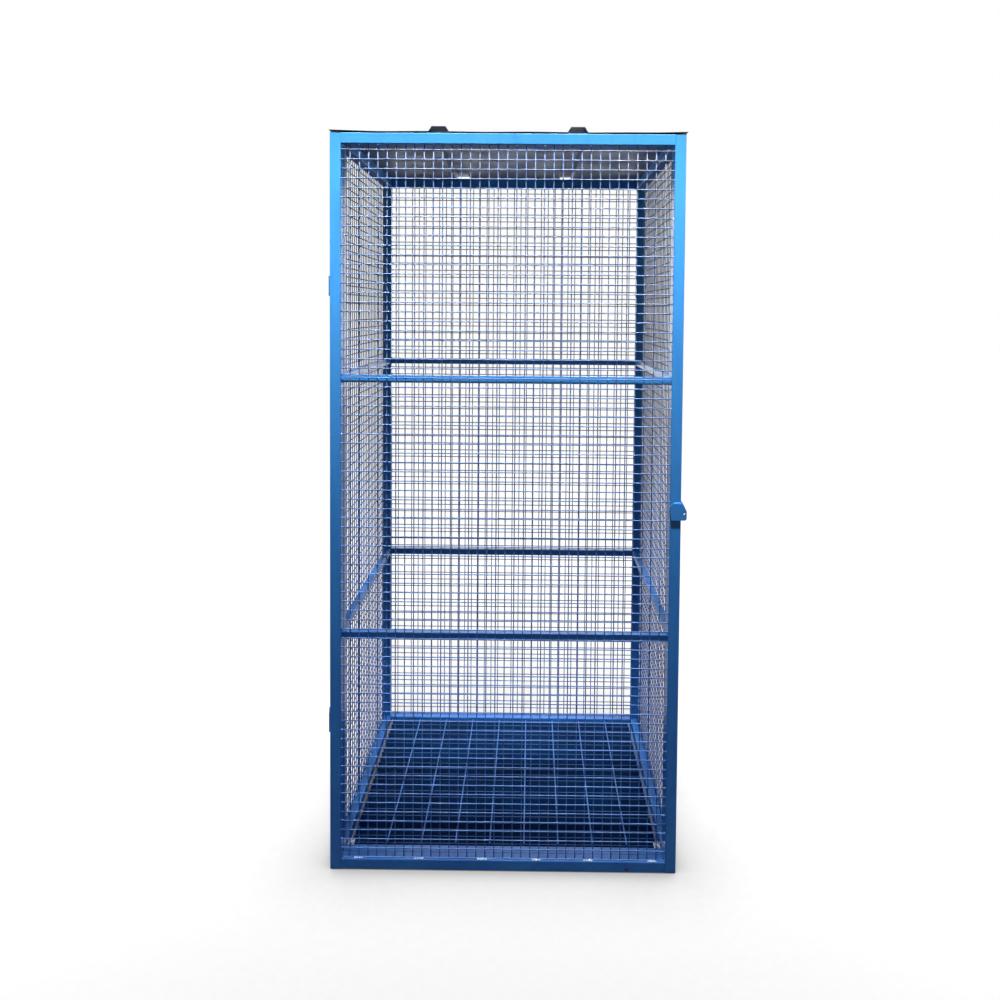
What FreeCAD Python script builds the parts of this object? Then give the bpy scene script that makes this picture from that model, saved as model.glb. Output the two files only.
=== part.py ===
import FreeCAD, Part
import math
import os

# Gas cylinder cage. Millimetres, +Z up, door facing -Y, origin on the ground in the
# middle of the footprint.

V = FreeCAD.Vector
ORIGIN = V(0, 0, 0)
X = V(1, 0, 0)
Y = V(0, 1, 0)
Z = V(0, 0, 1)

# Overall sizes
frame_width = 950.0
frame_height = 2010.0
overall_depth = 780.0  # door front face to rear face of the rear posts

# Box section of the frame and the door, and the lighter section of the mid rails
section = 30.0
wall = 2.0
corner_radius = 3.0
mid_section = 20.0
mid_wall = 1.5
mid_bevel = 1.0
mid_rail_spacing = 702.0
mid_rail_drop = 5.0  # door middle to middle of the mid rails

# Door fit
door_gap = 2.0
door_end_gap = 2.0
lock_side_gap = 2.0

# Weld mesh; the square wire has about the cross-section of 3 mm round wire
row_pitch = 25.4
upright_pitch = 24.75
wire = 2.7

# Hinges
hinge_inset = 408.0  # door end to hinge centre
hinge_height = 53.0
knuckles = 3
knuckle_gap = 0.25
barrel_radius = 5.0
hinge_offset = 4.5  # side face of the cage to hinge line
pin_radius = 2.5
pin_clearance = 0.05
leaf_thickness = 3.0
leaf_reach = 28.0
leaf_relief = 0.5

# Padlock lugs
lug_height = 45.0
lug_drop = 5.0  # door middle to lug middle
lug_reach = 12.0  # past the side face of the cage
lug_cover = 28.0  # width of the door lug on its stile
lug_corner_radius = 6.0
lug_bevel_across = 10.0
lug_bevel_down = 20.0
door_lug_thickness = 6.0
strap_thickness = 3.0
ear_gap = 1.5
ear_rise = 1.0
padlock_hole_radius = 3.25
padlock_hole_drop = 6.0  # lug middle to hole
padlock_clearance = 0.25  # strap to hole

# Stile plugs
plug_flange = 1.5
plug_margin = 1.0
plug_spigot = 12.0
plug_clearance = 0.2

# Floor grating
floor_gap = 8.0
bar_pitch = 30.0
bar_thickness = 3.0
bar_depth = 20.0
binding_thickness = 5.0
rod_pitch = 97.0
rod_offset = 8.0  # middle of the cage to middle of the rods
rod = 5.0
ledge_width = 30.0
ledge_thickness = 4.0

# Small fasteners: hexagon heads, with many-sided shanks and washers to keep their faces few
head_sides = 6
shank_sides = 8
washer_sides = 12

# Grating clips
clip_width = 18.0
clip_thickness = 3.0
clip_gap = 1.0  # front rail to clip
clip_grip = 10.0  # clip over the front of the grating
clip_inset = 4.0  # end of the grating to bolt
bolt_radius = 3.0
bolt_head_flats = 10.0
bolt_head_height = 4.0
bolt_clearance = 0.2
thread_clearance = 0.05

# Roof sheet and its screws
sheet = 1.0
roof_side_overhang = 2.0
roof_front_overhang = 1.0
roof_rear_overhang = 5.0
rib_spacing = 370.0
rib_base = 54.0
rib_top = 37.0
rib_height = 14.0
screw_radius = 2.75
screw_length = 19.0
screw_head_flats = 8.0
screw_head_height = 5.0
screw_clearance = 0.05
washer_radius = 8.0
washer_thickness = 2.0

# Derived positions
half_width = frame_width / 2
inner_half = half_width - section
door_front = -overall_depth / 2
door_back = door_front + section
frame_front = door_back + door_gap
frame_rear = overall_depth / 2
bay_front = frame_front + section
bay_rear = frame_rear - section
bay_middle = (bay_front + bay_rear) / 2
top_rail = frame_height - section
door_bottom = door_end_gap
door_top = frame_height - door_end_gap
door_middle = (door_bottom + door_top) / 2
door_right = half_width - lock_side_gap
door_inner_right = door_right - section
door_inner_bottom = door_bottom + section
door_inner_top = door_top - section
mid_rail_heights = {
    "lower": door_middle - mid_rail_drop - mid_rail_spacing / 2,
    "upper": door_middle - mid_rail_drop + mid_rail_spacing / 2,
}
hinge_x = -half_width - hinge_offset
hinge_y = (door_back + frame_front) / 2
hinge_heights = {"lower": door_bottom + hinge_inset, "upper": door_top - hinge_inset}
SIDES = {"left": -1, "right": 1}

parts = {}


def box(low, high):
    """Block between two opposite corners."""
    size = high - low
    return Part.makeBox(size.x, size.y, size.z, low)


def edges_along(shape, axis):
    """Straight edges that run along one axis."""
    return [
        edge
        for edge in shape.Edges
        if abs((edge.Vertexes[-1].Point - edge.Vertexes[0].Point).dot(axis)) > 0.99 * edge.Length
    ]


def rounded(shape, axis, radius, chosen=lambda middle: True):
    """Round the edges along one axis whose middle is chosen."""
    edges = [edge for edge in edges_along(shape, axis) if chosen(edge.CenterOfMass)]
    return shape.makeFillet(radius, edges)


def hollow(outer, low, high, axis, thickness):
    """Open a bar between two corners into a tube along one axis."""
    across = V(1, 1, 1) - axis
    return outer.cut(box(low + across * thickness, high - across * thickness))


def tube(low, high, axis):
    """Box section of the frame, open at both ends."""
    return hollow(rounded(box(low, high), axis, corner_radius), low, high, axis, wall)


def prism(sides, flats, height, base):
    """Upright prism of a width across flats, such as a bolt head."""
    turn = 2 * math.pi / sides
    radius = flats / 2 / math.cos(turn / 2)
    points = [
        base + V(math.cos(i * turn), math.sin(i * turn), 0) * radius for i in range(sides + 1)
    ]
    return Part.Face(Part.makePolygon(points)).extrude(Z * height)


def shank(radius, length, base):
    """Shank of a small fastener, or the hole for one."""
    return prism(shank_sides, 2 * radius, length, base)


def spaced(count, pitch, middle=0.0):
    """Evenly spaced positions about a middle."""
    return [middle + (i - (count - 1) / 2) * pitch for i in range(count)]


def how_many(length, pitch):
    """Members at a pitch that fit in a length with at least half a pitch at each end."""
    return int(length // pitch)


# Infill panels are drawn facing -Y with the outer face at y = 0 and the foot at z = 0.
def mesh_panel(width, height):
    """Weld mesh: rows outside, uprights behind, lowest row lying on the bottom rail."""
    row_front = section - mid_section - 2 * wire
    upright_front = row_front + wire
    wires = []
    for i in range(how_many(height - wire, row_pitch) + 1):
        z = i * row_pitch
        wires.append(box(V(-width / 2, row_front, z), V(width / 2, upright_front, z + wire)))
    for x in spaced(how_many(width, upright_pitch), upright_pitch):
        low = V(x - wire / 2, upright_front, 0)
        wires.append(box(low, V(x + wire / 2, upright_front + wire, height)))
    return Part.makeCompound(wires)


def mid_rail(width, z):
    """Light box section behind the mesh, flush with the inner side of the frame."""
    low = V(-width / 2, section - mid_section, z - mid_section / 2)
    high = V(width / 2, section, z + mid_section / 2)
    bar = box(low, high)
    bar = bar.makeChamfer(mid_bevel, edges_along(bar, X))
    return hollow(bar, low, high, X, mid_wall)


def fill_panel(mesh_name, rail_name, width, top, turn, foot):
    """Mesh and two mid rails, turned about Z and set on the foot point."""
    pieces = {mesh_name: mesh_panel(width, top - foot.z)}
    for level, z in mid_rail_heights.items():
        pieces[rail_name.format(level)] = mid_rail(width, z - foot.z)
    for name, shape in pieces.items():
        shape.rotate(ORIGIN, Z, turn)
        shape.translate(foot)
        parts[name] = shape


# Frame: four full-height posts, rails butted between them
for side, sign in SIDES.items():
    post_x = sorted((sign * inner_half, sign * half_width))
    for end, y in (("front", frame_front), ("rear", bay_rear)):
        low = V(post_x[0], y, 0)
        parts[f"post_{end}_{side}"] = tube(low, V(post_x[1], y + section, frame_height), Z)
    for level, z in (("bottom", 0.0), ("top", top_rail)):
        low = V(post_x[0], bay_front, z)
        parts[f"rail_{level}_{side}"] = tube(low, V(post_x[1], bay_rear, z + section), Y)
for end, y in (("front", frame_front), ("rear", bay_rear)):
    for level, z in (("bottom", 0.0), ("top", top_rail)):
        low = V(-inner_half, y, z)
        parts[f"rail_{level}_{end}"] = tube(low, V(inner_half, y + section, z + section), X)

# Side and rear infill
bay_depth = bay_rear - bay_front
for side, sign in SIDES.items():
    foot = V(sign * half_width, bay_middle, section)
    fill_panel(f"mesh_{side}", f"rail_mid_{{}}_{side}", bay_depth, top_rail, sign * 90, foot)
rear_foot = V(0, frame_rear, section)
fill_panel("mesh_rear", "rail_mid_{}_rear", 2 * inner_half, top_rail, 180, rear_foot)

# Door: full-height stiles, rails butted between them
stile_bottom = door_bottom + plug_flange
stile_top = door_top - plug_flange
stile_edges = {"hinge": -half_width, "lock": door_inner_right}
plugs = []
for name, x in stile_edges.items():
    low = V(x, door_front, stile_bottom)
    parts[f"door_stile_{name}"] = tube(low, V(x + section, door_back, stile_top), Z)
    for end, inward in ((stile_bottom, 1), (stile_top, -1)):
        middle = V(x + section / 2, door_front + section / 2, end)
        flange = V(1, 1, 0) * (section / 2 - plug_margin)
        spigot = V(1, 1, 0) * (section / 2 - wall - plug_clearance)
        cap_z = sorted((0, -inward * plug_flange))
        spigot_z = sorted((0, inward * plug_spigot))
        cap = box(middle - flange + Z * cap_z[0], middle + flange + Z * cap_z[1])
        body = box(middle - spigot + Z * spigot_z[0], middle + spigot + Z * spigot_z[1])
        plugs.append(cap.fuse(body).removeSplitter())
parts["door_stile_plugs"] = Part.makeCompound(plugs)
for level, z in (("bottom", door_bottom), ("top", door_inner_top)):
    low = V(-inner_half, door_front, z)
    parts[f"door_rail_{level}"] = tube(low, V(door_inner_right, door_back, z + section), X)
door_opening = door_inner_right + inner_half
door_foot = V((door_inner_right - inner_half) / 2, door_front, door_inner_bottom)
fill_panel("door_mesh", "door_rail_mid_{}", door_opening, door_inner_top, 0, door_foot)

# Hinges: the frame leaf carries the outer knuckles, the door leaf the middle one
knuckle = (hinge_height - (knuckles - 1) * knuckle_gap) / knuckles


def hinge_leaf(z, owned, facing):
    """Leaf on the side face with the knuckles it owns; facing is the way it runs in Y."""
    foot = z - hinge_height / 2
    root = hinge_y + facing * (barrel_radius + leaf_relief)
    reach = sorted((root, hinge_y + facing * leaf_reach))
    low = V(-half_width - leaf_thickness, reach[0], foot)
    leaf = box(low, V(-half_width, reach[1], foot + hinge_height))
    tab = sorted((root, hinge_y))
    for i in owned:
        base = foot + i * (knuckle + knuckle_gap)
        barrel = Part.makeCylinder(barrel_radius, knuckle, V(hinge_x, hinge_y, base))
        low = V(-half_width - leaf_thickness, tab[0], base)
        link = box(low, V(-half_width, tab[1], base + knuckle))
        leaf = leaf.fuse([barrel, link])
    bore_radius = pin_radius + pin_clearance
    bore = Part.makeCylinder(bore_radius, hinge_height, V(hinge_x, hinge_y, foot))
    return leaf.cut(bore).removeSplitter()


for level, z in hinge_heights.items():
    parts[f"hinge_frame_leaf_{level}"] = hinge_leaf(z, range(0, knuckles, 2), 1)
    parts[f"hinge_door_leaf_{level}"] = hinge_leaf(z, range(1, knuckles, 2), -1)
    foot = V(hinge_x, hinge_y, z - hinge_height / 2)
    parts[f"hinge_pin_{level}"] = Part.makeCylinder(pin_radius, hinge_height, foot)

# Padlock lugs: one on the lock stile, one on a strap from the post beside it
lug_right = half_width + lug_reach
lug_middle = door_middle - lug_drop
padlock_hole_x = half_width + strap_thickness + padlock_clearance + padlock_hole_radius
padlock_hole_z = lug_middle - padlock_hole_drop


def lug_plate(left, front, thickness, middle):
    """Plate in the door's plane with a bevelled upper corner and a padlock hole."""
    low = middle - lug_height / 2
    high = middle + lug_height / 2
    outline = [
        V(left, front, low),
        V(lug_right, front, low),
        V(lug_right, front, high - lug_bevel_down),
        V(lug_right - lug_bevel_across, front, high),
        V(left, front, high),
    ]
    plate = Part.Face(Part.makePolygon(outline + outline[:1])).extrude(Y * thickness)
    at_right_foot = lambda point: point.x > lug_right - 1 and point.z < low + 1
    plate = rounded(plate, Y, lug_corner_radius, at_right_foot)
    hole_at = V(padlock_hole_x, front, padlock_hole_z)
    return plate.cut(Part.makeCylinder(padlock_hole_radius, thickness, hole_at, Y))


lug_left = door_right - lug_cover
door_lug = lug_plate(lug_left, door_front - door_lug_thickness, door_lug_thickness, lug_middle)
parts["door_lock_lug"] = rounded(
    door_lug, Y, lug_corner_radius, lambda point: point.x < lug_left + 1
)
ear_front = door_front + ear_gap
ear_middle = lug_middle + ear_rise
ear = lug_plate(half_width, ear_front, strap_thickness, ear_middle)
strap_low = V(half_width, ear_front, ear_middle - lug_height / 2)
strap_high = V(half_width + strap_thickness, bay_front, ear_middle + lug_height / 2)
post_lug = ear.fuse(box(strap_low, strap_high)).removeSplitter()
parts["post_lock_lug"] = rounded(
    post_lug, Z, strap_thickness, lambda point: (point - strap_low).dot(X + Y) < 1
)

# Floor grating: bearing bars across, rods welded over them, a binding bar at each end
bar_top = section - rod
bar_foot = bar_top - bar_depth
grating_half = inner_half - floor_gap
binding_inner = grating_half - binding_thickness
bar_rows = how_many(bay_depth - 2 * floor_gap + bar_pitch - bar_thickness, bar_pitch)
bar_at = spaced(bar_rows, bar_pitch, bay_middle)
grating_front = bar_at[0] - bar_thickness / 2
grating_rear = bar_at[-1] + bar_thickness / 2
bars = []
for y in bar_at:
    low = V(-binding_inner, y - bar_thickness / 2, bar_foot)
    bars.append(box(low, V(binding_inner, y + bar_thickness / 2, bar_top)))
parts["floor_bearing_bars"] = Part.makeCompound(bars)
rods = []
rod_count = how_many(2 * (binding_inner - rod_offset), rod_pitch)
for x in spaced(rod_count, rod_pitch, rod_offset):
    low = V(x - rod / 2, grating_front, bar_top)
    rods.append(box(low, V(x + rod / 2, grating_rear, section)))
parts["floor_cross_rods"] = Part.makeCompound(rods)
binding = []
for sign in SIDES.values():
    x = sorted((sign * binding_inner, sign * grating_half))
    binding.append(box(V(x[0], grating_front, bar_foot), V(x[1], grating_rear, bar_top)))
parts["floor_binding_bars"] = Part.makeCompound(binding)

# Ledges under the grating, and a clip at each front corner bolted down to them
clip_top = bar_top + clip_thickness
ledge_foot = bar_foot - ledge_thickness
clips = []
bolts = []
for side, sign in SIDES.items():
    x = sorted((sign * (inner_half - ledge_width), sign * inner_half))
    ledge = box(V(x[0], bay_front, ledge_foot), V(x[1], bay_rear, bar_foot))
    bolt_x = sign * (grating_half - clip_inset)
    bolt_y = (bay_front + grating_front) / 2
    bolt_foot = V(bolt_x, bolt_y, ledge_foot)
    low = V(bolt_x - clip_width / 2, bay_front + clip_gap, bar_top)
    clip = box(low, V(bolt_x + clip_width / 2, grating_front + clip_grip, clip_top))
    hole_foot = V(bolt_x, bolt_y, bar_top)
    clips.append(clip.cut(shank(bolt_radius + bolt_clearance, clip_thickness, hole_foot)))
    bolt = shank(bolt_radius, clip_top - ledge_foot, bolt_foot)
    head_foot = V(bolt_x, bolt_y, clip_top)
    bolts.append(bolt.fuse(prism(head_sides, bolt_head_flats, bolt_head_height, head_foot)))
    ledge = ledge.cut(shank(bolt_radius + thread_clearance, ledge_thickness, bolt_foot))
    parts[f"floor_ledge_{side}"] = ledge
parts["floor_clip_plates"] = Part.makeCompound(clips)
parts["floor_clip_bolts"] = Part.makeCompound(bolts)

# Roof: flat sheet with two pressed ribs running front to back, open at both ends
roof_front = door_front - roof_front_overhang
roof_length = overall_depth + roof_front_overhang + roof_rear_overhang
roof_half = half_width + roof_side_overhang
roof_top = frame_height + sheet
slope = math.atan2(rib_height, (rib_base - rib_top) / 2)
wall_across = sheet / math.sin(slope)


def rib_prism(middle, base_half, top_half, foot, head):
    """Trapezoidal prism along the roof."""
    outline = [
        V(middle - base_half, roof_front, foot),
        V(middle + base_half, roof_front, foot),
        V(middle + top_half, roof_front, head),
        V(middle - top_half, roof_front, head),
    ]
    return Part.Face(Part.makePolygon(outline + outline[:1])).extrude(Y * roof_length)


low = V(-roof_half, roof_front, frame_height)
roof = box(low, V(roof_half, roof_front + roof_length, roof_top))
for x in spaced(2, rib_spacing):
    roof = roof.fuse(rib_prism(x, rib_base / 2, rib_top / 2, roof_top, roof_top + rib_height))
    inner_top = rib_top / 2 + sheet / math.tan(slope) - wall_across
    inner_base = inner_top + rib_height / math.tan(slope)
    head = roof_top + rib_height - sheet
    roof = roof.cut(rib_prism(x, inner_base, inner_top, frame_height, head))

# Roof screws in the three flats, through washers and sheet into the front and rear rails
outer_flat = (roof_half + rib_spacing / 2 + rib_base / 2) / 2
screws = []
washers = []
for end in ("front", "rear"):
    rail = parts[f"rail_top_{end}"]
    y = rail.BoundBox.Center.y
    for x in (-outer_flat, 0.0, outer_flat):
        on_roof = V(x, y, roof_top)
        on_washer = on_roof + Z * washer_thickness
        tip = on_washer - Z * screw_length
        hole = shank(screw_radius + screw_clearance, screw_length, tip)
        rail = rail.cut(hole)
        roof = roof.cut(hole)
        washer = prism(washer_sides, 2 * washer_radius, washer_thickness, on_roof)
        washers.append(washer.cut(hole))
        screw = shank(screw_radius, screw_length, tip)
        screw_head = prism(head_sides, screw_head_flats, screw_head_height, on_washer)
        screws.append(screw.fuse(screw_head))
    parts[f"rail_top_{end}"] = rail
parts["roof_sheet"] = roof.removeSplitter()
parts["roof_screws"] = Part.makeCompound(screws)
parts["roof_screw_washers"] = Part.makeCompound(washers)

os.makedirs("parts", exist_ok=True)
for name, shape in parts.items():
    shape.exportStep(f"parts/{name}.step")
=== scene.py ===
import math
import random
from typing import NamedTuple

import bpy
from mathutils import Matrix, Vector


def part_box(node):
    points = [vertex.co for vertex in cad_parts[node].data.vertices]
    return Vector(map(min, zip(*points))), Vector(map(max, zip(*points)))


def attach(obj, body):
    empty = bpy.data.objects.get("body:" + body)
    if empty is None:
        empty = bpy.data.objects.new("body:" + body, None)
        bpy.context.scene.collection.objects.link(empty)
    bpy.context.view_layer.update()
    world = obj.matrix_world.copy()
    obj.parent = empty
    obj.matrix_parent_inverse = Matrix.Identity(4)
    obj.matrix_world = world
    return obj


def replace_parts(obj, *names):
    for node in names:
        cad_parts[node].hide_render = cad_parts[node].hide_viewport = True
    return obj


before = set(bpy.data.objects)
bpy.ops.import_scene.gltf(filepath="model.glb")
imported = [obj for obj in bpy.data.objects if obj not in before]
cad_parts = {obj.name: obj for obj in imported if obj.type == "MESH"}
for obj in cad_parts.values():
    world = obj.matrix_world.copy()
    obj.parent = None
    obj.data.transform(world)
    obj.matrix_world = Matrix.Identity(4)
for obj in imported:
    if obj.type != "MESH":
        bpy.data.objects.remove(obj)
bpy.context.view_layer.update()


class Pattern(NamedTuple):
    """Noise: scale per metre, the range of it that is used, octaves, and stretch along the axes."""

    scale: float
    low: float = 0.0
    high: float = 1.0
    detail: float = 4.0
    stretch: tuple = (1, 1, 1)


# Metres in the frame's own axes: door facing -Y, hinges at -X, +Z up
X_AXIS = Vector((1, 0, 0))
Y_AXIS = Vector((0, 1, 0))
Z_AXIS = Vector((0, 0, 1))
SEED = 7

# Weld mesh
ROW_PITCH = 0.0254
UPRIGHT_PITCH = 0.02475
WIRE_RADIUS = 0.0015
WIRE_SIDES = 8
WIRE_STEP = 0.08
WIRE_WOBBLE = 0.00015
TACK_SIZE = Vector((0.0028, 0.0028, 0.0024))
TACK_RANGE = (0.7, 1.1)
BARE_TACKS = 0.07

# Lumps of weld, as rings at levels of a unit ball
BLOB_SIDES = 8
BLOB_LEVELS = (-0.95, -0.6, 0.0, 0.6, 0.95)

# Floor grating rods; neighbours start at another turn, in radians
ROD_PITCH = 0.097
ROD_CORNERS = 4
ROD_TWIST_LENGTH = 0.06
ROD_START_TURN = 1.0
ROD_STEP = 0.008

# Roof sheet: its sides curl up most at the corners, and its front and rear edges ripple
ROOF_SHEET = 0.0009
RIB_SPACING = 0.370
RIB_BASE = 0.054
RIB_TOP = 0.037
FLAT_STEPS = 12
ROOF_ROWS = 28
ROOF_STILL = 0.55
ROOF_CURL = 0.0035
ROOF_CURL_WIDTH = 0.14
ROOF_CURL_POWER = 1.6
ROOF_CURL_MIDDLE = 0.35
ROOF_RIPPLE = 0.0012
RIPPLE_ACROSS = 23.0
RIPPLE_ALONG = 4.0

# Weld beads
BEAD_RADIUS = 0.0022
LUG_BEAD_RADIUS = 0.0032
BEAD_STEP = 0.0012
BEAD_LEAST_STEPS = 6
BEAD_RIPPLE_LENGTH = 0.0045
BEAD_RIPPLE_DEPTH = 0.16
BEAD_SIDES = 8
BEAD_TAPER = 0.004
BEAD_TIP = 0.05
SEAM_MARGIN = 0.003
LUG_CORNER = 0.006

# Weld stitches on the door's bottom rail
STITCHES_AT = (-0.398, -0.231, -0.058, 0.090, 0.233, 0.408)
STITCH_BLOBS = 4
STITCH_STEP = 0.0062
STITCH_JITTER = 0.001
STITCH_SIZE = Vector((0.0046, 0.0036, 0.0034))
STITCH_RANGE = (0.7, 1.15)

# Softened edges of the flat fittings
LUG_BEVEL = 0.0020
FITTING_BEVEL = 0.0006
BEVEL_SEGMENTS = 3
BEVEL_ANGLE = math.radians(40)

# Colours, in sRGB
BLUE = (0.19, 0.515, 0.80)
BLUE_PALE = (0.25, 0.57, 0.84)
BLUE_DEEP = (0.13, 0.395, 0.73)
WIRE_BLUE = (0.27, 0.50, 0.79)
WIRE_PALE = (0.47, 0.505, 0.58)
# Deeper blues of the floor grating: the frame's paint in painted shade
FLOOR_BLUE = (0.12, 0.36, 0.62)
FLOOR_DEEP = (0.10, 0.24, 0.44)
# Painted shade on the undersides
UNDERSIDE_SHADE = (0.07, 0.15, 0.34)
# Pale blue on the top faces: dust and a painted highlight
DUST_AND_SHEEN = (0.56, 0.68, 0.93)
# Dark grime; as a splash low on the paint it is also painted shade
GRIME_AND_SHADE = (0.10, 0.12, 0.17)
RUST = (0.33, 0.19, 0.12)
RUST_DARK = (0.19, 0.11, 0.08)
WORN_EDGE = (0.46, 0.43, 0.40)
BARE_WELD = (0.80, 0.87, 0.95)
ROOF_TOP = (0.23, 0.225, 0.23)
ROOF_UNDER = (0.35, 0.40, 0.50)
ROOF_DUST = (0.56, 0.58, 0.63)
ZINC = (0.74, 0.76, 0.80)
ZINC_DULL = (0.50, 0.52, 0.56)
# Dark navy of the blue-painted hinges: painted shade
HINGE_SHADE = (0.06, 0.09, 0.17)
BLACK = (0.035, 0.035, 0.037)
WHITE = (1.0, 1.0, 1.0, 1.0)

# Base shade, and the pale and deep shades that paint light high up and shade low down, of each paint
FRAME_SHADES = (BLUE, BLUE_PALE, BLUE_DEEP)
WIRE_SHADES = (WIRE_BLUE, WIRE_PALE, BLUE_DEEP)
FLOOR_SHADES = (FLOOR_BLUE, BLUE_DEEP, FLOOR_DEEP)

# Ranges of height, of width and of the surface's upward lean in which an effect grows
# Heights over which the deep shade (painted shade) turns into the pale one (painted light)
PAINTED_LIGHT_HEIGHTS = (0.1, 1.9)
SPLASH_AND_SHADE_HEIGHTS = (0.35, 0.0)
DUST_AND_SHEEN_HEIGHTS = (0.5, 1.6)
WEAR_ACROSS = (0.45, -0.45)
TOP_FACES = (0.1, 0.75)
UNDERSIDES = (-0.3, -0.9)
SHEET_UNDERSIDE = (-0.05, -0.3)

# Patterns of the finishes
PATCHES = Pattern(5.0, 0.3, 0.7)
STREAKS = Pattern(30.0, 0.5, 0.8, 3.0, (1, 1, 0.12))
GRAIN = Pattern(90.0, 0.25, 0.7)
RUBBED = Pattern(24.0, 0.4, 0.55, 6.0, (1, 0.4, 1))
RUST_GRAIN = Pattern(300.0, 0.4, 0.6)
RAGGED = Pattern(350.0, 0.3, 0.7)
BRUSH_MARKS = Pattern(220.0, detail=2.0, stretch=(1, 1, 0.1))
SHEET_GRAIN = Pattern(14.0, 0.35, 0.75, 6.0)
SHEET_STREAKS = Pattern(20.0, 0.45, 0.75, 4.0, (1, 0.06, 1))
SHEET_DENTS = Pattern(9.0, detail=2.0)
MOTTLE = Pattern(160.0, 0.3, 0.75, 5.0)
SPECKLE = Pattern(40.0, 0.3, 0.7)

# How much of each effect shows at its strongest
PATCH_SHARE = 0.4
STREAK_SHARE = 0.3
UNDERSIDE_SHADE_SHARE = 0.75
SPLASH_AND_SHADE_SHARE = 0.12
SHEET_DUST_SHARE = 0.1
SHEET_STREAK_SHARE = 0.25
MOTTLE_SHARE = 0.6

# How much of an effect is left at its weakest
HIGH_DUST_AND_SHEEN = 0.3
THIN_DUST_AND_SHEEN = 0.5
WEAR_RIGHT = 0.35
SPECKLE_DARK = 0.98

# Roughness that grain, dust and undersides add to the paint, and the roof sheet's roughness and gloss
GRAIN_ROUGH = 0.16
DUST_ROUGH = 0.4
UNDERSIDE_ROUGH = 0.4
SHEET_ROUGH = (0.45, 0.65)
SHEET_GLOSS = 0.03

# Relief: strength and depth
BRUSH_RELIEF = (0.12, 0.0006)
SHEET_RELIEF = (0.15, 0.004)
MOTTLE_RELIEF = (0.1, 0.0004)

# Rust spots on the paint: place and radius, how ragged they are, and the share that is solid
RUST_SPOTS = ((Vector((0.337, -0.390, 0.009)), 0.006),)
SPOT_RAGGED = (0.5, 1.5)
SPOT_CORE = 0.4

# Floor and sky
FLOOR_SIZE = 14.0
FLOOR_GLOW = 0.88
FLOOR_TONE = 0.08
FLOOR_ROUGH = 0.9
FLOOR_NEAR = 0.5
FLOOR_FAR = 2.2
SHADOW_REACH = 0.25
SKY_FILL = 0.10

# Lamps: place, aim, size, power in watts and spread in degrees
LAMPS = {
    "key": ((0.0, -0.95, 3.2), (0.0, -0.39, 1.75), (3.2, 0.12), 16.4, 22),
    "low": ((0.0, -1.0, 3.6), (0.0, -0.42, 0.15), (3.2, 0.12), 4.8, 16),
    "back": ((0.0, 2.6, 1.6), (0.0, 0.39, 1.0), (2.0, 1.4), 28, 180),
    "left": ((-2.4, 0.3, 1.1), (-0.475, 0.1, 1.0), (1.4, 1.6), 11, 180),
    "right": ((2.4, 0.3, 1.1), (0.475, 0.1, 1.0), (1.4, 1.6), 11, 180),
    "roof": ((0.0, 0.0, 4.0), (0.0, 0.0, 2.0), (0.93, 0.75), 3.6, 4),
}

# Camera
CAMERA_AT = Vector((0.0656, -2.4735, 1.5399))
CAMERA_PITCH = math.radians(1.994)
CAMERA_YAW = math.radians(-0.382)
CAMERA_ROLL = math.radians(0.466)
CAMERA_LENS = 28.057
CAMERA_SENSOR = 36.0
CAMERA_SHIFT = (-0.0261, -0.1630)

# Sockets of a colour mix node
MIX_INPUTS = (6, 7)
MIX_RESULT = 2

random.seed(SEED)


def srgb(colour):
    """Linear RGBA of an sRGB colour."""
    linear = [c / 12.92 if c <= 0.04045 else ((c + 0.055) / 1.055) ** 2.4 for c in colour]
    return (*linear, 1.0)


# Shader helpers


def is_socket(value):
    """Whether a value comes from another node."""
    return isinstance(value, bpy.types.NodeSocket)


def connect(tree, node, inputs):
    """Give each input of a node a value, or a link if it is a socket."""
    for key, value in inputs.items():
        if is_socket(value):
            tree.links.new(value, node.inputs[key])
        else:
            node.inputs[key].default_value = value


def add(tree, kind, inputs=None, **settings):
    """Add a node with its settings and inputs."""
    node = tree.nodes.new(kind)
    for key, value in settings.items():
        setattr(node, key, value)
    connect(tree, node, inputs or {})
    return node


def place(tree):
    """Position on the object, which stays with a part as it moves."""
    return add(tree, "ShaderNodeTexCoord").outputs["Object"]


def coordinate(tree, axis):
    """One coordinate of the position on the object."""
    return add(tree, "ShaderNodeSeparateXYZ", {0: place(tree)}).outputs[axis]


def upward(tree):
    """Vertical part of the surface normal."""
    normal = add(tree, "ShaderNodeNewGeometry").outputs["Normal"]
    return add(tree, "ShaderNodeSeparateXYZ", {0: normal}).outputs["Z"]


def ramp(tree, value, low, high, to_low=0.0, to_high=1.0):
    """Remap a value smoothly between two limits."""
    inputs = {0: value, 1: low, 2: high, 3: to_low, 4: to_high}
    node = add(tree, "ShaderNodeMapRange", inputs, interpolation_type="SMOOTHSTEP")
    return node.outputs[0]


def noise(tree, pattern):
    """Noise value of a pattern, over its whole range."""
    mapping = add(tree, "ShaderNodeMapping", {"Vector": place(tree), "Scale": pattern.stretch})
    inputs = {"Vector": mapping.outputs[0], "Scale": pattern.scale, "Detail": pattern.detail}
    return add(tree, "ShaderNodeTexNoise", inputs).outputs["Fac"]


def mask(tree, pattern, to_low=0.0, to_high=1.0):
    """Noise of a pattern, remapped from the range that it uses."""
    return ramp(tree, noise(tree, pattern), pattern.low, pattern.high, to_low, to_high)


def maths(tree, operation, first, second):
    """Result of one calculation on two values."""
    return add(tree, "ShaderNodeMath", {0: first, 1: second}, operation=operation).outputs[0]


def times(tree, first, *others):
    """Product of values."""
    for other in others:
        first = maths(tree, "MULTIPLY", first, other)
    return first


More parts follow.
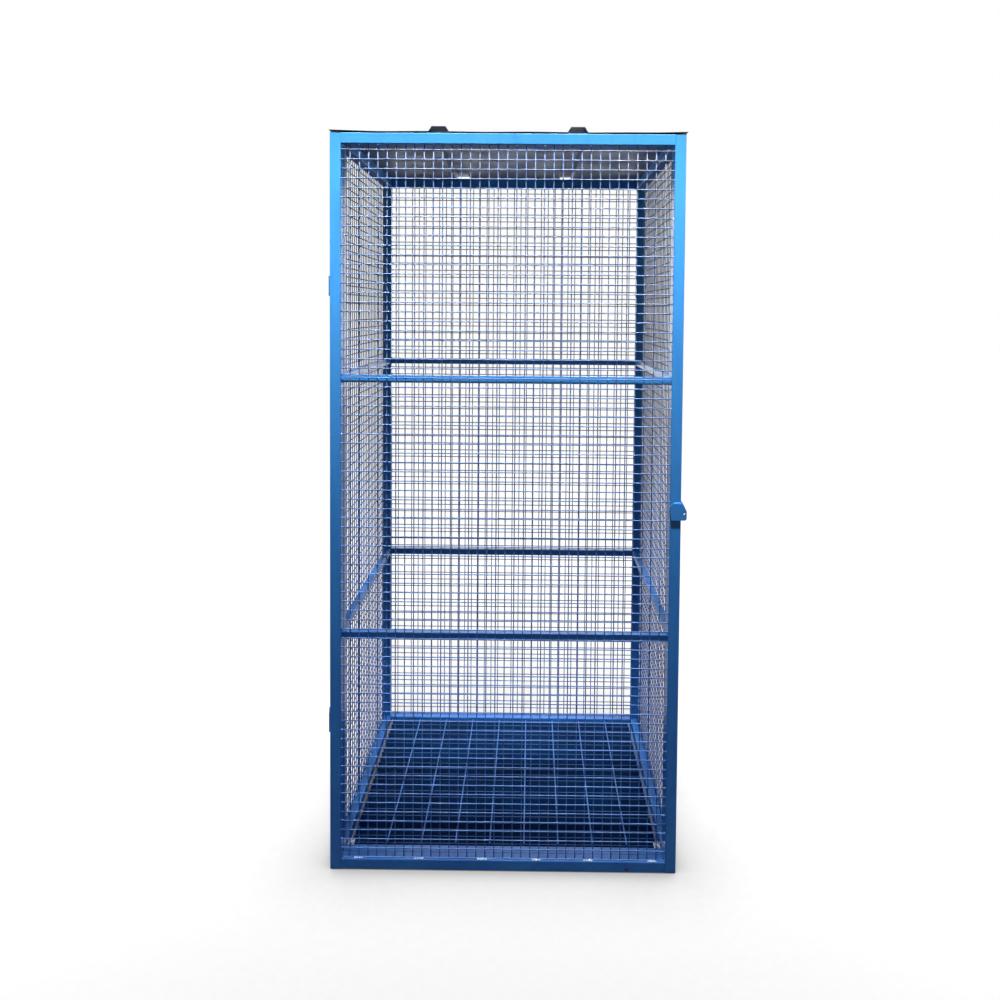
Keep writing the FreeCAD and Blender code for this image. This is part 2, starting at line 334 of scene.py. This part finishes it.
def blend(tree, factor, *colours):
    """Mix two colours, each of them an sRGB colour or a socket."""
    node = add(tree, "ShaderNodeMix", {"Factor": factor}, data_type="RGBA")
    values = [colour if is_socket(colour) else srgb(colour) for colour in colours]
    connect(tree, node, dict(zip(MIX_INPUTS, values)))
    return node.outputs[MIX_RESULT]


def spot(tree, middle, radius):
    """Ragged spot on the surface, from 1 at its middle to 0 outside."""
    inputs = {0: place(tree), 1: middle}
    distance = add(tree, "ShaderNodeVectorMath", inputs, operation="DISTANCE").outputs["Value"]
    ragged = mask(tree, RAGGED, *SPOT_RAGGED)
    return ramp(tree, times(tree, distance, ragged), radius, radius * SPOT_CORE)


def new_material(name):
    """Empty node material and its Principled shader."""
    material = bpy.data.materials.new(name)
    material.use_nodes = True
    tree = material.node_tree
    return material, tree, tree.nodes["Principled BSDF"]


def bump(tree, shader, value, strength, distance):
    """Relief on a shader from a height value."""
    inputs = {"Height": value, "Strength": strength, "Distance": distance}
    connect(tree, shader, {"Normal": add(tree, "ShaderNodeBump", inputs).outputs[0]})


# Materials


def aged_colour(tree, shades, height, under):
    """Paint colour: paler high up and deeper low down as painted light and shade, patchy and streaked,
    with painted shade on the undersides.
    """
    base, pale, deep = shades
    # Painted light and shade: paler high up, deeper low down
    colour = blend(tree, ramp(tree, height, *PAINTED_LIGHT_HEIGHTS), deep, pale)
    colour = blend(tree, times(tree, mask(tree, PATCHES), PATCH_SHARE), colour, base)
    colour = blend(tree, times(tree, mask(tree, STREAKS), STREAK_SHARE), colour, deep)
    # Painted shade: the undersides turn deep navy
    return blend(tree, times(tree, under, UNDERSIDE_SHADE_SHARE), colour, UNDERSIDE_SHADE)


def settled_dust_and_sheen(tree, height, grain, dust_and_sheen):
    """Pale cover on the top faces, thinner high up: dust, and a painted highlight where light falls on
    the tops.
    """
    thickness = ramp(tree, height, *DUST_AND_SHEEN_HEIGHTS, dust_and_sheen, dust_and_sheen * HIGH_DUST_AND_SHEEN)
    patchy = ramp(tree, grain, 0.0, 1.0, THIN_DUST_AND_SHEEN, 1.0)
    return times(tree, ramp(tree, upward(tree), *TOP_FACES), patchy, thickness)


def rubbed_colour(tree, colour, worn):
    """Colour with paint rubbed off in places, most of it at the left."""
    leftward = ramp(tree, coordinate(tree, "X"), *WEAR_ACROSS, WEAR_RIGHT, 1.0)
    return blend(tree, times(tree, mask(tree, RUBBED), leftward, worn), colour, WORN_EDGE)


def rusty_colour(tree, colour):
    """Colour with the rust spots on it."""
    rust = blend(tree, mask(tree, RUST_GRAIN), RUST, RUST_DARK)
    for middle, radius in RUST_SPOTS:
        colour = blend(tree, spot(tree, middle, radius), colour, rust)
    return colour


def paint_material(name, shades, dust_and_sheen=0.05, gloss=0.2, rough=0.27, worn=0.0):
    """Brushed-on paint that has aged outdoors, with dust and a painted highlight on its top faces, and
    splashed grime with painted shade low down.
    """
    material, tree, shader = new_material(name)
    height = coordinate(tree, "Z")
    under = ramp(tree, upward(tree), *UNDERSIDES)
    grain = mask(tree, GRAIN)
    dust_and_sheen_cover = settled_dust_and_sheen(tree, height, grain, dust_and_sheen)
    # Darker low down: splashed grime and painted shade
    splash_and_shade = times(tree, ramp(tree, height, *SPLASH_AND_SHADE_HEIGHTS), grain, SPLASH_AND_SHADE_SHARE)
    colour = aged_colour(tree, shades, height, under)
    # Dust and a painted highlight on the top faces
    colour = blend(tree, dust_and_sheen_cover, colour, DUST_AND_SHEEN)
    colour = blend(tree, splash_and_shade, colour, GRIME_AND_SHADE)
    if worn:
        colour = rubbed_colour(tree, colour, worn)
    colour = rusty_colour(tree, colour)
    uneven = rough
    for area, share in ((grain, GRAIN_ROUGH), (dust_and_sheen_cover, DUST_ROUGH), (under, UNDERSIDE_ROUGH)):
        uneven = maths(tree, "ADD", times(tree, area, share), uneven)
    connect(tree, shader, {"Base Color": colour, "Roughness": uneven, "Specular IOR Level": gloss})
    bump(tree, shader, noise(tree, BRUSH_MARKS), *BRUSH_RELIEF)
    return material


def sheet_material(name):
    """Dark coated roof sheet with a paler backing coat, dusty and streaked."""
    material, tree, shader = new_material(name)
    under = ramp(tree, upward(tree), *SHEET_UNDERSIDE)
    colour = blend(tree, under, ROOF_TOP, ROOF_UNDER)
    grain = mask(tree, SHEET_GRAIN)
    colour = blend(tree, times(tree, grain, SHEET_DUST_SHARE), colour, ROOF_DUST)
    colour = blend(tree, times(tree, mask(tree, SHEET_STREAKS), SHEET_STREAK_SHARE), colour, GRIME_AND_SHADE)
    rough = ramp(tree, grain, 0.0, 1.0, *SHEET_ROUGH)
    connect(tree, shader, {"Base Color": colour, "Roughness": rough, "Specular IOR Level": SHEET_GLOSS})
    bump(tree, shader, noise(tree, SHEET_DENTS), *SHEET_RELIEF)
    return material


def mottled_material(name, colour, tarnish, metallic=0.0, rough=(0.4, 0.6)):
    """Metal, plastic or rubber with a slightly uneven finish."""
    material, tree, shader = new_material(name)
    grain = mask(tree, MOTTLE)
    mixed = blend(tree, times(tree, grain, MOTTLE_SHARE), colour, tarnish)
    uneven = ramp(tree, grain, 0.0, 1.0, *rough)
    connect(tree, shader, {"Base Color": mixed, "Metallic": metallic, "Roughness": uneven})
    bump(tree, shader, grain, *MOTTLE_RELIEF)
    return material


PAINT = paint_material("blue_paint", FRAME_SHADES)
PAINT_WIRE = paint_material("blue_paint_wire", WIRE_SHADES, dust_and_sheen=0.8, gloss=0.12, rough=0.3)
PAINT_ROD = paint_material("blue_paint_rod", WIRE_SHADES, dust_and_sheen=0.1)
# Painted shade: the floor grating gets a deeper copy of the frame's blue
PAINT_FLOOR = paint_material("blue_paint_floor", FLOOR_SHADES, dust_and_sheen=0.1, gloss=0.06)
PAINT_WORN = paint_material("blue_paint_worn", FLOOR_SHADES, dust_and_sheen=0.3, worn=1.0)
WELD = mottled_material("bare_weld", BARE_WELD, BLUE_PALE, metallic=0.9, rough=(0.2, 0.4))
ROOF = sheet_material("roof_sheet")
STEEL = mottled_material("zinc_steel", ZINC, ZINC_DULL, metallic=0.9, rough=(0.25, 0.45))
HINGE = mottled_material("hinge_steel", HINGE_SHADE, RUST_DARK, rough=(0.35, 0.6))
RUBBER = mottled_material("black_rubber", BLACK, GRIME_AND_SHADE, rough=(0.6, 0.8))
PLASTIC = mottled_material("black_plastic", BLACK, GRIME_AND_SHADE)


# Geometry helpers


class Mesh:
    """Vertices and faces collected for one piece."""

    def __init__(self):
        self.points = []
        self.faces = []

    def loft(self, rings):
        """Skin between rings of points, with both ends filled."""
        start = len(self.points)
        count = len(rings[0])
        for points in rings:
            self.points.extend(points)
        for i in range(len(rings) - 1):
            for j in range(count):
                k = (j + 1) % count
                a = start + i * count
                b = a + count
                self.faces.append((a + j, a + k, b + k, b + j))
        last = start + (len(rings) - 1) * count
        self.faces.append(tuple(start + j for j in reversed(range(count))))
        self.faces.append(tuple(last + j for j in range(count)))

    def piece(self, name, material, body, smooth=True):
        """Make the piece and let it ride a body."""
        data = bpy.data.meshes.new(name)
        data.from_pydata([tuple(p) for p in self.points], [], self.faces)
        data.polygons.foreach_set("use_smooth", [smooth] * len(data.polygons))
        data.materials.append(material)
        thing = bpy.data.objects.new(name, data)
        bpy.context.scene.collection.objects.link(thing)
        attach(thing, body)
        return thing


def across(direction):
    """Two unit vectors square to a level or upright direction and to each other."""
    side = X_AXIS if direction.z else direction.cross(Z_AXIS).normalized()
    return side, side.cross(direction).normalized()


def ring(centre, side, up, radius, sides, turn=0.0):
    """Points around a centre."""
    angles = [turn + 2 * math.pi * i / sides for i in range(sides)]
    return [centre + (side * math.cos(a) + up * math.sin(a)) * radius for a in angles]


def wire_between(mesh, start, end):
    """Round wire that wanders a little from a straight line."""
    run = end - start
    side, up = across(run.normalized())
    steps = round(run.length / WIRE_STEP)
    rings = []
    for i in range(steps + 1):
        centre = start + run * (i / steps)
        if 0 < i < steps:
            centre = centre + side * random.uniform(-1, 1) * WIRE_WOBBLE
            centre = centre + up * random.uniform(-1, 1) * WIRE_WOBBLE
        rings.append(ring(centre, side, up, WIRE_RADIUS, WIRE_SIDES))
    mesh.loft(rings)


def blob(mesh, centre, size):
    """Small rounded lump of weld."""
    rings = []
    for level in BLOB_LEVELS:
        round_points = ring(Z_AXIS * level, X_AXIS, Y_AXIS, math.sqrt(1 - level**2), BLOB_SIDES)
        rings.append([centre + point * size for point in round_points])
    mesh.loft(rings)


def bead(mesh, start, end, radius=BEAD_RADIUS):
    """Rippled bead of weld with rounded ends."""
    run = end - start
    side, up = across(run.normalized())
    steps = max(BEAD_LEAST_STEPS, round(run.length / BEAD_STEP))
    phase = random.uniform(0, 2 * math.pi)
    rings = []
    for i in range(steps + 1):
        along = run.length * i / steps
        from_end = min(along, run.length - along)
        taper = math.sqrt(min(1.0, BEAD_TIP + from_end / BEAD_TAPER))
        ripple = 1 + BEAD_RIPPLE_DEPTH * math.sin(phase + 2 * math.pi * along / BEAD_RIPPLE_LENGTH)
        centre = start + run * (i / steps)
        rings.append(ring(centre, side, up, radius * taper * ripple, BEAD_SIDES))
    mesh.loft(rings)


# Weld mesh


def weld_mesh(node, body, inward):
    """Round-wire grille in place of a square-wire one: rows outside, uprights behind."""
    low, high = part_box(node)
    depth = 1 if inward.y else 0
    width = 1 - depth
    outer = low[depth] if inward[depth] > 0 else high[depth]
    layer = (high[depth] - low[depth]) / 2
    row_at = outer + inward[depth] * layer / 2
    upright_at = row_at + inward[depth] * layer
    mesh = Mesh()
    painted = Mesh()
    bare = Mesh()

    def point(along, deep, z):
        at = Vector((0, 0, z))
        at[width] = along
        at[depth] = deep
        return at

    def wire(start, end):
        wire_between(mesh, start, end)
        for tip in (start, end):
            tacks = bare if random.random() < BARE_TACKS else painted
            blob(tacks, tip, TACK_SIZE * random.uniform(*TACK_RANGE))

    rows = int((high.z - low.z - layer) / ROW_PITCH) + 1
    for i in range(rows):
        z = low.z + layer / 2 + i * ROW_PITCH
        wire(point(low[width], row_at, z), point(high[width], row_at, z))
    columns = int((high[width] - low[width]) / UPRIGHT_PITCH)
    middle = (low[width] + high[width]) / 2
    for i in range(columns):
        along = middle + (i - (columns - 1) / 2) * UPRIGHT_PITCH
        wire(point(along, upright_at, low.z), point(along, upright_at, high.z))
    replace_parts(mesh.piece(node + "_wires", PAINT_WIRE, body), node)
    painted.piece(node + "_tacks", PAINT_WIRE, body)
    bare.piece(node + "_bare_tacks", WELD, body)


weld_mesh("door_mesh", "door", Y_AXIS)
weld_mesh("mesh_rear", "cage", -Y_AXIS)
weld_mesh("mesh_left", "cage", X_AXIS)
weld_mesh("mesh_right", "cage", -X_AXIS)


# Floor grating


def twisted_rods():
    """Square rods twisted along their length, in place of the plain ones."""
    low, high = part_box("floor_cross_rods")
    side = high.z - low.z
    middle_z = (low.z + high.z) / 2
    count = round((high.x - low.x - side) / ROD_PITCH) + 1
    steps = round((high.y - low.y) / ROD_STEP)
    mesh = Mesh()
    for i in range(count):
        x = low.x + side / 2 + i * ROD_PITCH
        rings = []
        for j in range(steps + 1):
            centre = Vector((x, low.y + (high.y - low.y) * j / steps, middle_z))
            turn = 2 * math.pi * (centre.y - low.y) / ROD_TWIST_LENGTH + i * ROD_START_TURN
            rings.append(ring(centre, X_AXIS, Z_AXIS, side / 2, ROD_CORNERS, turn))
        mesh.loft(rings)
    rods = mesh.piece("floor_twisted_rods", PAINT_ROD, "cage", False)
    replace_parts(rods, "floor_cross_rods")


twisted_rods()


# Roof


def roof_profile(low, high):
    """Points across the top of the sheet: flats with two trapezoidal ribs between them."""
    flat = low.z + ROOF_SHEET
    corners = [(low.x, flat)]
    for middle in (-RIB_SPACING / 2, RIB_SPACING / 2):
        corners += [
            (middle - RIB_BASE / 2, flat),
            (middle - RIB_TOP / 2, high.z),
            (middle + RIB_TOP / 2, high.z),
            (middle + RIB_BASE / 2, flat),
        ]
    corners.append((high.x, flat))
    points = []
    for (x, z), (next_x, next_z) in zip(corners, corners[1:]):
        steps = FLAT_STEPS if z == next_z == flat else 1
        points += [(x + (next_x - x) * i / steps, z + (next_z - z) * i / steps) for i in range(steps)]
    return points + corners[-1:]


def roof_rise(x, along, half_width):
    """How far the sheet has risen at a place, by its curled sides and its rippled ends."""
    end = max(0.0, abs(2 * along - 1) - ROOF_STILL) / (1 - ROOF_STILL)
    edge = max(0.0, abs(x) - (half_width - ROOF_CURL_WIDTH)) / ROOF_CURL_WIDTH
    curl = ROOF_CURL * edge**ROOF_CURL_POWER * (ROOF_CURL_MIDDLE + (1 - ROOF_CURL_MIDDLE) * end)
    wave = (1 + math.sin(RIPPLE_ACROSS * x + RIPPLE_ALONG * along)) / 2
    return curl + ROOF_RIPPLE * end * (1 - edge) * wave


def roof_sheet():
    """Ribbed sheet that has lifted a little, in place of the flat one."""
    low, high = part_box("roof_sheet")
    profile = roof_profile(low, high)
    rings = []
    for i in range(ROOF_ROWS + 1):
        along = i / ROOF_ROWS
        y = low.y + (high.y - low.y) * along
        upper = [Vector((x, y, min(z + roof_rise(x, along, high.x), high.z))) for x, z in profile]
        lower = [point - Z_AXIS * ROOF_SHEET for point in upper]
        rings.append(upper + lower[::-1])
    mesh = Mesh()
    mesh.loft(rings)
    roof = mesh.piece("roof_ribbed_sheet", ROOF, "cage", False)
    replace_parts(roof, "roof_sheet")


roof_sheet()


# Welds


def edge_bead(mesh, node, run_axis, **at):
    """Bead along one axis of a node's box, at its low (0) or high (1) side on the axes named."""
    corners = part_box(node)
    start, end = corners[0].copy(), corners[1].copy()
    for name, side in at.items():
        axis = "xyz".index(name)
        start[axis] = end[axis] = corners[side][axis]
    start[run_axis] += SEAM_MARGIN
    end[run_axis] -= SEAM_MARGIN
    bead(mesh, start, end)


def rail_welds(mesh, name, along, sides):
    """Beads across both ends of a rail, on its underside (0), its top (1) or both."""
    run_axis = 1 - along
    for end in (0, 1):
        for side in sides:
            edge_bead(mesh, name, run_axis, **{"xy"[along]: end, "z": side})


def lug_welds(mesh):
    """Beads round the door lug where it lies on the stile."""
    low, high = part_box("door_lock_lug")
    stile_low, stile_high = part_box("door_stile_lock")
    face = stile_low.y
    right = stile_high.x - SEAM_MARGIN
    for z in (low.z, high.z):
        start = Vector((low.x + LUG_CORNER, face, z))
        bead(mesh, start, Vector((right, face, z)), LUG_BEAD_RADIUS)
    foot = Vector((low.x, face, low.z + LUG_CORNER))
    bead(mesh, foot, Vector((low.x, face, high.z - LUG_CORNER)), LUG_BEAD_RADIUS)


def hinge_weld(mesh, node, outer):
    """Upright bead along one edge of a hinge leaf."""
    edge_bead(mesh, node, 2, x=1, y=outer)


def stitch_welds():
    """Bare weld stitches that hold the lowest row of the door's grille to its rail."""
    rail_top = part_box("door_rail_bottom")[1].z
    grille_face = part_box("door_mesh")[0].y
    mesh = Mesh()
    for x in STITCHES_AT:
        for i in range(STITCH_BLOBS):
            offset = (i - (STITCH_BLOBS - 1) / 2) * STITCH_STEP
            jitter = random.uniform(-STITCH_JITTER, STITCH_JITTER)
            centre = Vector((x + offset + jitter, grille_face, rail_top))
            blob(mesh, centre, STITCH_SIZE * random.uniform(*STITCH_RANGE))
    mesh.piece("door_stitch_welds", WELD, "door")


def all_welds():
    """Weld beads of the frame and of the door."""
    frame_beads = Mesh()
    door_beads = Mesh()
    for end in ("front", "rear"):
        rail_welds(frame_beads, f"rail_bottom_{end}", 0, (1,))
        rail_welds(frame_beads, f"rail_top_{end}", 0, (0,))
    for side in ("left", "right"):
        rail_welds(frame_beads, f"rail_bottom_{side}", 1, (1,))
        rail_welds(frame_beads, f"rail_top_{side}", 1, (0,))
    rail_welds(door_beads, "door_rail_bottom", 0, (1,))
    rail_welds(door_beads, "door_rail_top", 0, (0,))
    for level in ("lower", "upper"):
        rail_welds(door_beads, f"door_rail_mid_{level}", 0, (0, 1))
        rail_welds(frame_beads, f"rail_mid_{level}_rear", 0, (0, 1))
        for side in ("left", "right"):
            rail_welds(frame_beads, f"rail_mid_{level}_{side}", 1, (0, 1))
        hinge_weld(frame_beads, f"hinge_frame_leaf_{level}", 1)
        hinge_weld(door_beads, f"hinge_door_leaf_{level}", 0)
    lug_welds(door_beads)
    for z in (0, 1):
        edge_bead(frame_beads, "post_lock_lug", 1, x=0, z=z)
    frame_beads.piece("frame_weld_beads", PAINT, "cage")
    door_beads.piece("door_weld_beads", PAINT, "door")


all_welds()
stitch_welds()


# CAD nodes that are shown as they are

FINISH = {
    "floor_bearing_bars": (PAINT_FLOOR, "blue_paint"),
    "floor_binding_bars": (PAINT_WORN, "blue_paint"),
    "floor_clip_plates": (STEEL, "zinc_steel"),
    "floor_clip_bolts": (STEEL, "zinc_steel"),
    "roof_screws": (STEEL, "zinc_steel"),
    "roof_screw_washers": (RUBBER, "black_rubber"),
    "door_stile_plugs": (PLASTIC, "black_plastic"),
}
SOFTENED = {
    "door_lock_lug": LUG_BEVEL,
    "post_lock_lug": LUG_BEVEL,
    "floor_clip_plates": FITTING_BEVEL,
    "floor_clip_bolts": FITTING_BEVEL,
}


def soften(thing, width):
    """Round the sharp edges of a CAD node with a modifier."""
    bevel = thing.modifiers.new("soft_edges", "BEVEL")
    bevel.width = width
    bevel.segments = BEVEL_SEGMENTS
    bevel.limit_method = "ANGLE"
    bevel.angle_limit = BEVEL_ANGLE


def finish_nodes():
    """Material of every CAD node that no piece replaces."""
    for name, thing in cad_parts.items():
        if thing.hide_render:
            continue
        material, slot = FINISH.get(name, (PAINT, "blue_paint"))
        # Hinges in dark navy: painted shade
        if name.startswith("hinge_"):
            material, slot = HINGE, "hinge_steel"
        thing.data.materials.clear()
        thing.data.materials.append(material)
        if name in SOFTENED:
            soften(thing, SOFTENED[name])


finish_nodes()


# Stage: floor, light and camera


def camera_white(tree):
    """1 where a ray shows the background to the camera, metal or glass."""
    path = add(tree, "ShaderNodeLightPath").outputs
    shown = maths(tree, "MAXIMUM", path["Is Camera Ray"], path["Is Glossy Ray"])
    return maths(tree, "MAXIMUM", shown, path["Is Transmission Ray"])


def white_world():
    """White to the camera, dimmer as a light."""
    world = bpy.data.worlds.new("studio")
    world.use_nodes = True
    bpy.context.scene.world = world
    tree = world.node_tree
    strength = ramp(tree, camera_white(tree), 0.0, 1.0, SKY_FILL, 1.0)
    connect(tree, tree.nodes["Background"], {"Color": WHITE, "Strength": strength})


def floor_material():
    """Pale floor that glows white to the camera far off, with a painted shadow: its glow is dimmer near
    the object and dimmed by ambient occlusion under and around it.
    """
    material, tree, shader = new_material("floor")
    away = add(tree, "ShaderNodeVectorMath", {0: place(tree)}, operation="LENGTH").outputs["Value"]
    # Painted shadow: the floor's glow is dimmer near the object, and ambient occlusion dims it further
    whiteness = ramp(tree, away, FLOOR_NEAR, FLOOR_FAR, FLOOR_GLOW, 1.0)
    speckle = mask(tree, SPECKLE, SPECKLE_DARK, 1.0)
    painted_contact_shadow = add(tree, "ShaderNodeAmbientOcclusion", {"Distance": SHADOW_REACH}).outputs["AO"]
    glow = times(tree, camera_white(tree), whiteness, speckle, painted_contact_shadow)
    tone = (FLOOR_TONE, FLOOR_TONE, FLOOR_TONE, 1.0)
    connect(tree, shader, {"Base Color": tone, "Roughness": FLOOR_ROUGH})
    connect(tree, shader, {"Emission Color": WHITE, "Emission Strength": glow})
    return material


def pale_floor():
    """Square floor under the object."""
    half = FLOOR_SIZE / 2
    data = bpy.data.meshes.new("floor")
    corners = [(-half, -half, 0), (half, -half, 0), (half, half, 0), (-half, half, 0)]
    data.from_pydata(corners, [], [(0, 1, 2, 3)])
    data.materials.append(floor_material())
    floor = bpy.data.objects.new("floor", data)
    bpy.context.scene.collection.objects.link(floor)


def softbox(name, location, target, size, power, spread):
    """Rectangular lamp aimed at a point."""
    lamp = bpy.data.lights.new(name, "AREA")
    lamp.shape = "RECTANGLE"
    lamp.size, lamp.size_y = size
    lamp.energy = power
    lamp.spread = math.radians(spread)
    thing = bpy.data.objects.new(name, lamp)
    thing.location = location
    aim = Vector(target) - Vector(location)
    thing.rotation_euler = aim.to_track_quat("-Z", "Y").to_euler()
    bpy.context.scene.collection.objects.link(thing)


def photo_camera():
    """Camera at the photo's viewpoint."""
    level = Vector((math.sin(CAMERA_YAW), math.cos(CAMERA_YAW), 0))
    ahead = level * math.cos(CAMERA_PITCH) - Z_AXIS * math.sin(CAMERA_PITCH)
    right = Vector((math.cos(CAMERA_YAW), -math.sin(CAMERA_YAW), 0))
    up = right.cross(ahead)
    turn = Matrix((right, up, -ahead)).transposed().to_4x4()
    camera = bpy.data.cameras.new("photo")
    camera.lens = CAMERA_LENS
    camera.sensor_width = CAMERA_SENSOR
    camera.shift_x, camera.shift_y = CAMERA_SHIFT
    thing = bpy.data.objects.new("photo", camera)
    roll = Matrix.Rotation(CAMERA_ROLL, 4, "Z")
    thing.matrix_world = Matrix.Translation(CAMERA_AT) @ turn @ roll
    bpy.context.scene.collection.objects.link(thing)
    bpy.context.scene.camera = thing


white_world()
pale_floor()
for lamp_name, settings in LAMPS.items():
    softbox(lamp_name, *settings)
photo_camera()
bpy.context.scene.view_settings.view_transform = "Standard"
